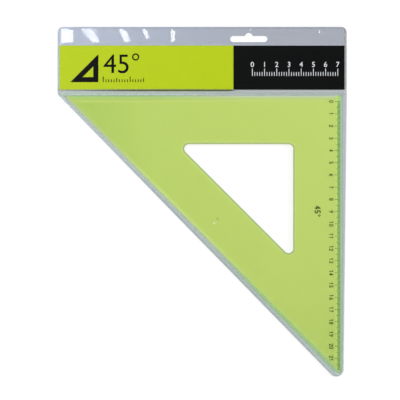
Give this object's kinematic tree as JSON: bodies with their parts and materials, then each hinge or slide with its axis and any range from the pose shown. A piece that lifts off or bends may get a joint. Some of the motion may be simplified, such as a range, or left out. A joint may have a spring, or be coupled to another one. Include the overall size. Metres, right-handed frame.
{
  "type": "drafting triangle",
  "caption": "Clear lime 45 degree drafting triangle with a bevelled centimetre scale and a triangular window, kept in a clear hanging sleeve with a header card.",
  "frame": {"origin": "under the middle of the sleeve's outline, on its back face", "axes": "+Z out of the front film, +Y up towards the hang slot, +X along the header card towards the sleeve's open side"},
  "size_m": [0.237, 0.2866, 0.003],
  "materials": {
    "back_film": "clear film",
    "front_film": "clear film",
    "card_lime": "printed board, satin",
    "card_dark": "print, satin",
    "lime_plastic": "translucent, polished",
    "scale_ink": "print"
  },
  "bodies": {
    "sleeve": {"sleeve_back_film": "back_film", "sleeve_front_film": "front_film"},
    "card": {"header_card": "card_lime", "card_dark_panel": "card_dark"},
    "triangle": {"triangle_plate": "lime_plastic", "centimetre_marks": "scale_ink", "half_centimetre_marks": "scale_ink", "millimetre_marks": "scale_ink", "scale_numerals": "scale_ink", "angle_mark": "scale_ink"}
  },
  "joints": [
    {"name": "triangle_slide", "type": "slide", "parent": "sleeve", "child": "triangle", "axis": [1, 0, 0], "range_m": [0, 0.235]},
    {"name": "card_slide", "type": "slide", "parent": "sleeve", "child": "card", "axis": [1, 0, 0], "range_m": [0, 0.24]}
  ]
}
